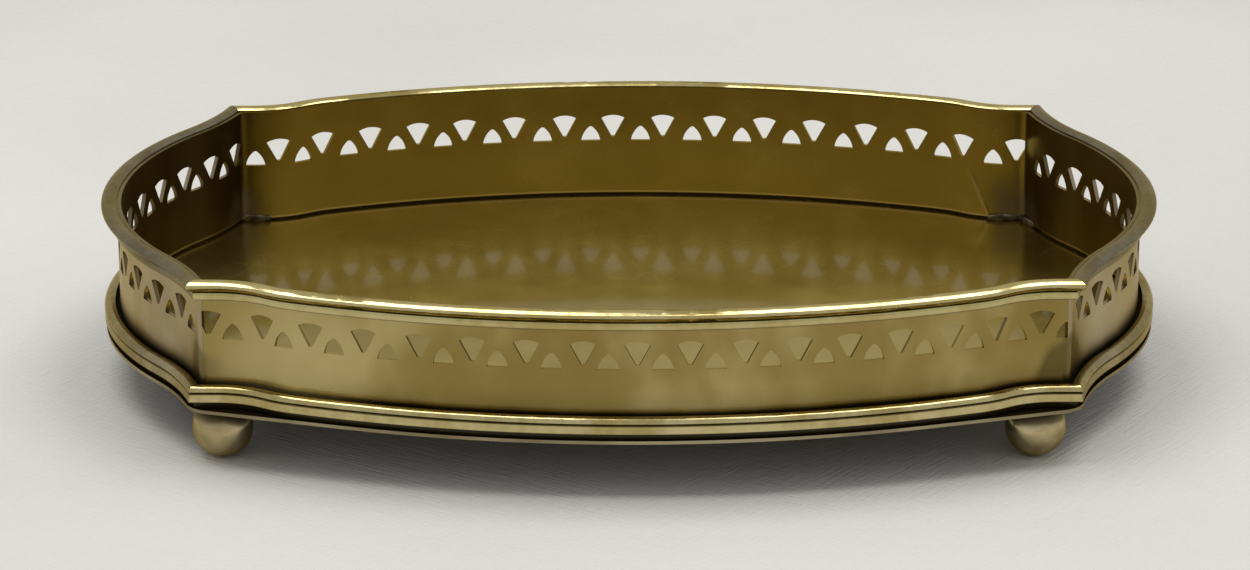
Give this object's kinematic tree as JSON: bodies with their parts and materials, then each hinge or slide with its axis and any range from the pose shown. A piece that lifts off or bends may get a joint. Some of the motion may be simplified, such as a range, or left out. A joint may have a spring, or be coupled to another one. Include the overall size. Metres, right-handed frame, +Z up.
{
  "type": "vanity tray",
  "caption": "Oval brass vanity tray with a pierced gallery between two mouldings, on a double bottom with ball feet.",
  "frame": {"origin": "centre of the bounding box, on the surface that the ball feet stand on", "axes": "+X along the tray's length to its right-hand end, +Y from its front to its back, +Z up"},
  "size_m": [0.254, 0.1774, 0.0452],
  "materials": {
    "gallery_brass": "satin, aged",
    "moulding_brass": "polished, aged",
    "floor_brass": "satin, worn",
    "base_brass": "dull, unpolished",
    "foot_brass": "polished, aged",
    "screw_brass": "turned"
  },
  "bodies": {
    "root": {"floor_plate": "floor_brass", "base_plate": "base_brass", "foot_screws": "screw_brass", "foot_front_left": "foot_brass", "foot_front_right": "foot_brass", "foot_back_left": "foot_brass", "foot_back_right": "foot_brass", "rim_front": "moulding_brass", "rim_back": "moulding_brass", "rim_left": "moulding_brass", "rim_right": "moulding_brass", "base_moulding_front": "moulding_brass", "base_moulding_back": "moulding_brass", "base_moulding_left": "moulding_brass", "base_moulding_right": "moulding_brass", "gallery_front": "gallery_brass", "gallery_back": "gallery_brass", "gallery_left": "gallery_brass", "gallery_right": "gallery_brass"}
  },
  "joints": []
}
